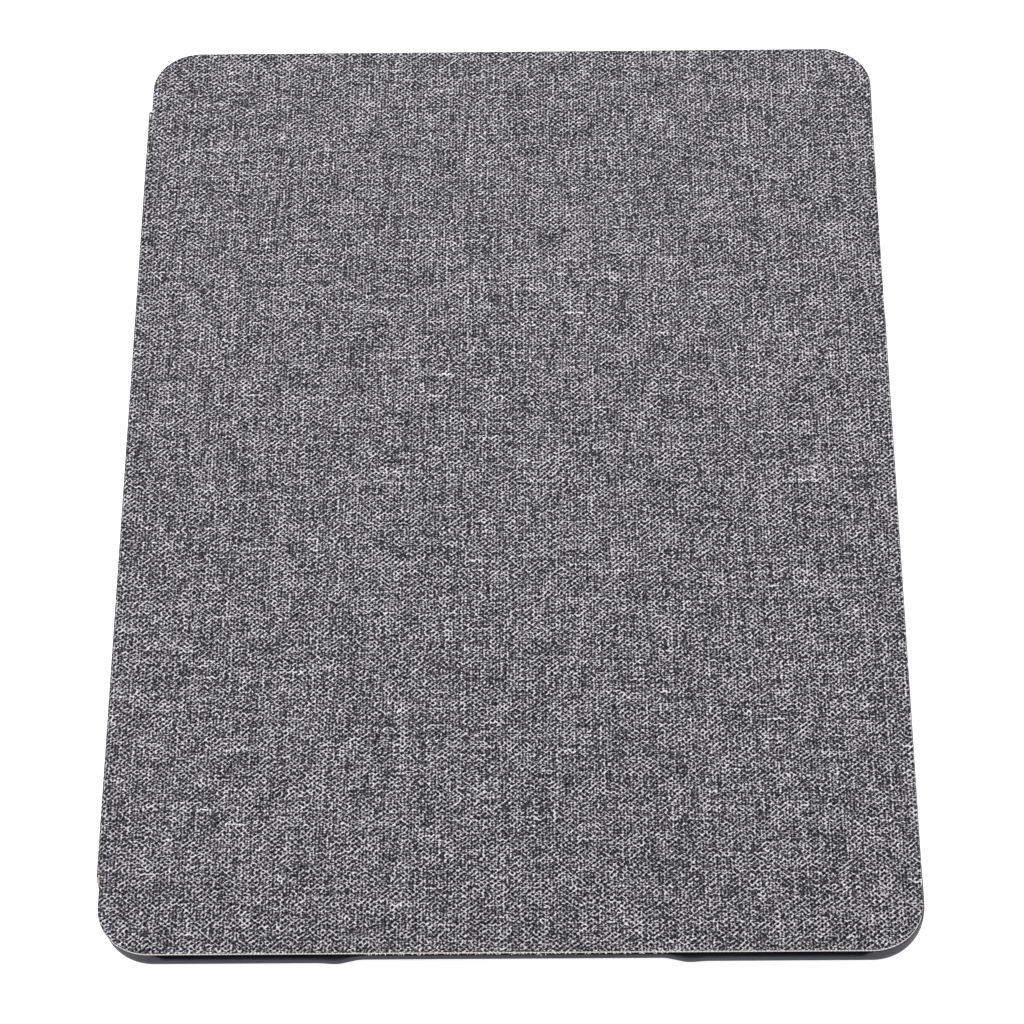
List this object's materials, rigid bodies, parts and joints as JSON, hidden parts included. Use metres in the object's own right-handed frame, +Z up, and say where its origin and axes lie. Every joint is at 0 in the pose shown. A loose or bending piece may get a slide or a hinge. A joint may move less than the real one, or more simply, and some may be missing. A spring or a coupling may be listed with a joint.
{
  "type": "tablet keyboard case",
  "caption": "Folio case with a woven grey cover, a fabric spine, a moulded tablet shell and a slim keyboard on the inside of the cover.",
  "frame": {"origin": "centre of the closed case at the underside of the back panel", "axes": "+X from the spine to the free edge, +Y along the spine to the top edge of the case, +Z up through the layers to the front cover"},
  "size_m": [0.1792, 0.2546, 0.0118],
  "materials": {
    "woven_linen_look": "plain weave of grey melange threads, matte, backed with a thin film",
    "microfibre": "brushed, matte",
    "stiffener_board": "matte",
    "shell_plastic": "semi-gloss moulded",
    "keyboard_plastic": "fine moulded grain",
    "key_plastic": "matte moulded",
    "steel": "plain rolled",
    "clear_film": "translucent film",
    "circuit_laminate": "solder mask",
    "battery_foil": "foil pouch",
    "rubber": "matte",
    "lens_plastic": "clear, polished",
    "magnet_nickel": "nickel plated"
  },
  "bodies": {
    "back": {"back_fabric": "woven_linen_look", "back_board_stand": "stiffener_board", "back_board_shell": "stiffener_board", "back_lining": "microfibre", "tablet_shell": "shell_plastic", "shell_liner": "microfibre"},
    "spine": {"spine_fabric": "woven_linen_look", "spine_stiffener": "stiffener_board", "spine_lining": "microfibre"},
    "cover": {"front_fabric": "woven_linen_look", "front_board": "stiffener_board", "front_lining": "microfibre", "closure_magnet_1": "magnet_nickel", "closure_magnet_2": "magnet_nickel", "closure_magnet_3": "magnet_nickel", "tablet_groove_bar": "keyboard_plastic", "stand_magnet_1": "magnet_nickel", "stand_magnet_2": "magnet_nickel", "keyboard_pad": "clear_film", "keyboard_base": "keyboard_plastic", "keyboard_deck": "keyboard_plastic", "membrane_sheet": "clear_film", "key_plate": "steel", "circuit_board": "circuit_laminate", "battery": "battery_foil", "charging_port": "steel", "indicator_lens": "lens_plastic", "deck_bumper_1": "rubber", "deck_bumper_2": "rubber", "deck_bumper_3": "rubber", "deck_bumper_4": "rubber"},
    "power_switch": {"power_switch": "key_plastic"},
    "key_arrow_down": {"key_arrow_down": "key_plastic"},
    "key_arrow_left": {"key_arrow_left": "key_plastic"},
    "key_arrow_right": {"key_arrow_right": "key_plastic"},
    "key_arrow_up": {"key_arrow_up": "key_plastic"},
    "key_backspace": {"key_backspace": "key_plastic"},
    "key_caps": {"key_caps": "key_plastic"},
    "key_control": {"key_control": "key_plastic"},
    "key_escape": {"key_escape": "key_plastic"},
    "key_fn": {"key_fn": "key_plastic"},
    "key_function": {"key_function": "key_plastic"},
    "key_home_letters": {"key_home_letters": "key_plastic"},
    "key_left_command": {"key_left_command": "key_plastic"},
    "key_left_option": {"key_left_option": "key_plastic"},
    "key_left_shift": {"key_left_shift": "key_plastic"},
    "key_lock": {"key_lock": "key_plastic"},
    "key_lower_letters": {"key_lower_letters": "key_plastic"},
    "key_numbers": {"key_numbers": "key_plastic"},
    "key_return": {"key_return": "key_plastic"},
    "key_right_command": {"key_right_command": "key_plastic"},
    "key_right_option": {"key_right_option": "key_plastic"},
    "key_right_shift": {"key_right_shift": "key_plastic"},
    "key_space": {"key_space": "key_plastic"},
    "key_tab": {"key_tab": "key_plastic"},
    "key_upper_letters": {"key_upper_letters": "key_plastic"}
  },
  "joints": [
    {"name": "back_spine_fold", "type": "hinge", "parent": "back", "child": "spine", "pos_m": [-0.08935, 0, 0.00025], "axis": [0, -1, 0], "range_deg": [0, 90]},
    {"name": "cover_spine_fold", "type": "hinge", "parent": "spine", "child": "cover", "pos_m": [-0.08935, 0, 0.01155], "axis": [0, -1, 0], "range_deg": [0, 90]},
    {"name": "key_arrow_down_press", "type": "slide", "parent": "cover", "child": "key_arrow_down", "axis": [0, 0, 1], "range_m": [0, 0.0012], "stiffness_N_per_m": 300, "springref_m": -0.001},
    {"name": "key_arrow_left_press", "type": "slide", "parent": "cover", "child": "key_arrow_left", "axis": [0, 0, 1], "range_m": [0, 0.0012], "stiffness_N_per_m": 300, "springref_m": -0.001},
    {"name": "key_arrow_right_press", "type": "slide", "parent": "cover", "child": "key_arrow_right", "axis": [0, 0, 1], "range_m": [0, 0.0012], "stiffness_N_per_m": 300, "springref_m": -0.001},
    {"name": "key_arrow_up_press", "type": "slide", "parent": "cover", "child": "key_arrow_up", "axis": [0, 0, 1], "range_m": [0, 0.0012], "stiffness_N_per_m": 300, "springref_m": -0.001},
    {"name": "key_backspace_press", "type": "slide", "parent": "cover", "child": "key_backspace", "axis": [0, 0, 1], "range_m": [0, 0.0012], "stiffness_N_per_m": 300, "springref_m": -0.001},
    {"name": "key_caps_press", "type": "slide", "parent": "cover", "child": "key_caps", "axis": [0, 0, 1], "range_m": [0, 0.0012], "stiffness_N_per_m": 300, "springref_m": -0.001},
    {"name": "key_control_press", "type": "slide", "parent": "cover", "child": "key_control", "axis": [0, 0, 1], "range_m": [0, 0.0012], "stiffness_N_per_m": 300, "springref_m": -0.001},
    {"name": "key_escape_press", "type": "slide", "parent": "cover", "child": "key_escape", "axis": [0, 0, 1], "range_m": [0, 0.0012], "stiffness_N_per_m": 300, "springref_m": -0.001},
    {"name": "key_fn_press", "type": "slide", "parent": "cover", "child": "key_fn", "axis": [0, 0, 1], "range_m": [0, 0.0012], "stiffness_N_per_m": 300, "springref_m": -0.001},
    {"name": "key_function_press", "type": "slide", "parent": "cover", "child": "key_function", "axis": [0, 0, 1], "range_m": [0, 0.0012], "stiffness_N_per_m": 300, "springref_m": -0.001},
    {"name": "key_home_letters_press", "type": "slide", "parent": "cover", "child": "key_home_letters", "axis": [0, 0, 1], "range_m": [0, 0.0012], "stiffness_N_per_m": 300, "springref_m": -0.001},
    {"name": "key_left_command_press", "type": "slide", "parent": "cover", "child": "key_left_command", "axis": [0, 0, 1], "range_m": [0, 0.0012], "stiffness_N_per_m": 300, "springref_m": -0.001},
    {"name": "key_left_option_press", "type": "slide", "parent": "cover", "child": "key_left_option", "axis": [0, 0, 1], "range_m": [0, 0.0012], "stiffness_N_per_m": 300, "springref_m": -0.001},
    {"name": "key_left_shift_press", "type": "slide", "parent": "cover", "child": "key_left_shift", "axis": [0, 0, 1], "range_m": [0, 0.0012], "stiffness_N_per_m": 300, "springref_m": -0.001},
    {"name": "key_lock_press", "type": "slide", "parent": "cover", "child": "key_lock", "axis": [0, 0, 1], "range_m": [0, 0.0012], "stiffness_N_per_m": 300, "springref_m": -0.001},
    {"name": "key_lower_letters_press", "type": "slide", "parent": "cover", "child": "key_lower_letters", "axis": [0, 0, 1], "range_m": [0, 0.0012], "stiffness_N_per_m": 300, "springref_m": -0.001},
    {"name": "key_numbers_press", "type": "slide", "parent": "cover", "child": "key_numbers", "axis": [0, 0, 1], "range_m": [0, 0.0012], "stiffness_N_per_m": 300, "springref_m": -0.001},
    {"name": "key_return_press", "type": "slide", "parent": "cover", "child": "key_return", "axis": [0, 0, 1], "range_m": [0, 0.0012], "stiffness_N_per_m": 300, "springref_m": -0.001},
    {"name": "key_right_command_press", "type": "slide", "parent": "cover", "child": "key_right_command", "axis": [0, 0, 1], "range_m": [0, 0.0012], "stiffness_N_per_m": 300, "springref_m": -0.001},
    {"name": "key_right_option_press", "type": "slide", "parent": "cover", "child": "key_right_option", "axis": [0, 0, 1], "range_m": [0, 0.0012], "stiffness_N_per_m": 300, "springref_m": -0.001},
    {"name": "key_right_shift_press", "type": "slide", "parent": "cover", "child": "key_right_shift", "axis": [0, 0, 1], "range_m": [0, 0.0012], "stiffness_N_per_m": 300, "springref_m": -0.001},
    {"name": "key_space_press", "type": "slide", "parent": "cover", "child": "key_space", "axis": [0, 0, 1], "range_m": [0, 0.0012], "stiffness_N_per_m": 300, "springref_m": -0.001},
    {"name": "key_tab_press", "type": "slide", "parent": "cover", "child": "key_tab", "axis": [0, 0, 1], "range_m": [0, 0.0012], "stiffness_N_per_m": 300, "springref_m": -0.001},
    {"name": "key_upper_letters_press", "type": "slide", "parent": "cover", "child": "key_upper_letters", "axis": [0, 0, 1], "range_m": [0, 0.0012], "stiffness_N_per_m": 300, "springref_m": -0.001},
    {"name": "power_switch_slide", "type": "slide", "parent": "cover", "child": "power_switch", "axis": [0, -1, 0], "range_m": [0, 0.002]}
  ]
}
